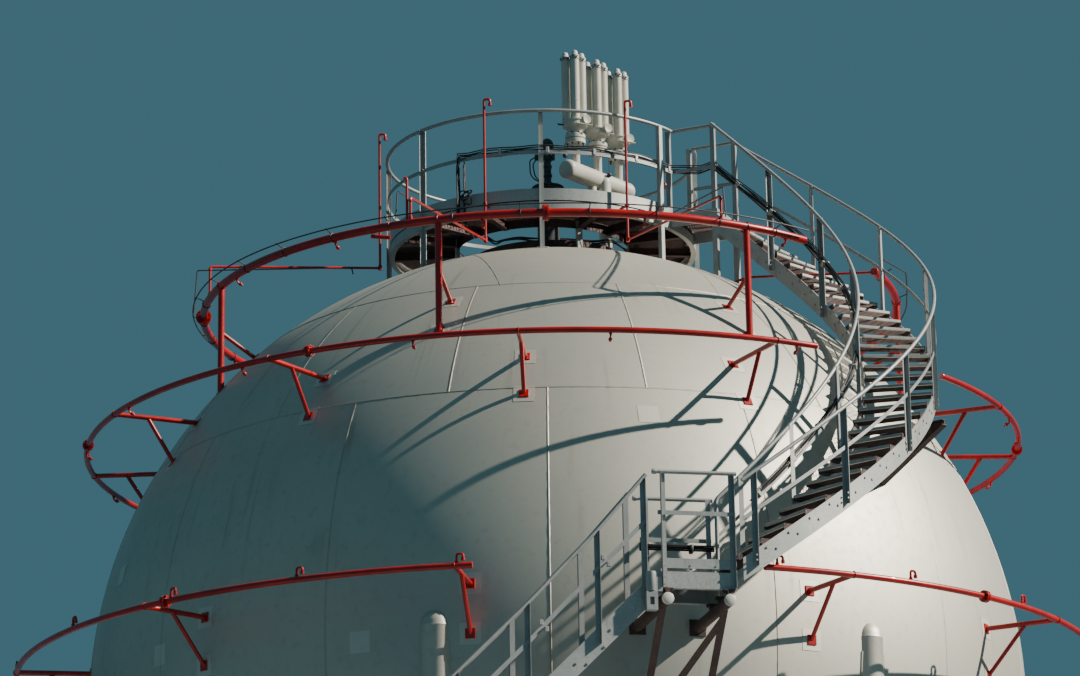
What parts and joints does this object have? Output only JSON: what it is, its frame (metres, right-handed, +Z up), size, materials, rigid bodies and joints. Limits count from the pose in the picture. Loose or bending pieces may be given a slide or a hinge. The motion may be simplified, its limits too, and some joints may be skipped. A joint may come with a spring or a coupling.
{
  "type": "spherical gas tank",
  "caption": "Spherical tank for liquefied gas on pipe legs, with red water rings, a spiral stair, a round top platform and relief stacks.",
  "frame": {"origin": "on the ground, under the middle of the bounding box", "axes": "+Z up, -Y towards the front where the landing is, +X to the right"},
  "size_m": [17.2764, 17.1468, 18.98],
  "materials": {
    "silver_paint": "satin silver-cream paint",
    "red_paint": "gloss signal red paint",
    "galvanised": "weathered galvanised steel",
    "cream_paint": "satin cream paint",
    "dark_cast": "dark cast body"
  },
  "bodies": {
    "root": {"top_crown": "silver_paint", "upper_zone": "silver_paint", "equator_belt": "silver_paint", "lower_zone": "silver_paint", "bottom_crown": "silver_paint", "leg_1": "silver_paint", "leg_2": "silver_paint", "leg_3": "silver_paint", "leg_4": "silver_paint", "leg_5": "silver_paint", "leg_6": "silver_paint", "leg_7": "silver_paint", "tie_rods_1": "galvanised", "tie_rods_2": "galvanised", "tie_rods_3": "galvanised", "tie_rods_4": "galvanised", "tie_rods_5": "galvanised", "tie_rods_6": "galvanised", "tie_rods_7": "galvanised", "bottom_outlet": "cream_paint", "spray_ring_top": "red_paint", "spray_ring_middle": "red_paint", "spray_ring_lower": "red_paint", "top_platform": "galvanised", "platform_handrail": "galvanised", "vent_header": "cream_paint", "relief_stack_1": "cream_paint", "relief_stack_2": "cream_paint", "relief_stack_3": "cream_paint", "gauge_valve": "dark_cast", "manway": "cream_paint", "spiral_stair": "galvanised", "spiral_outer_handrail": "galvanised", "spiral_inner_handrail": "galvanised", "landing_deck": "galvanised", "landing_bracket_left": "galvanised", "landing_bracket_right": "galvanised", "landing_outer_handrail": "galvanised", "landing_inner_handrail": "galvanised", "upper_flight": "galvanised", "lower_flight": "galvanised", "upper_flight_outer_rail": "galvanised", "upper_flight_inner_rail": "galvanised", "lower_flight_outer_rail": "galvanised", "lower_flight_inner_rail": "galvanised", "halfway_landing": "galvanised", "halfway_handrail": "galvanised"}
  },
  "joints": []
}
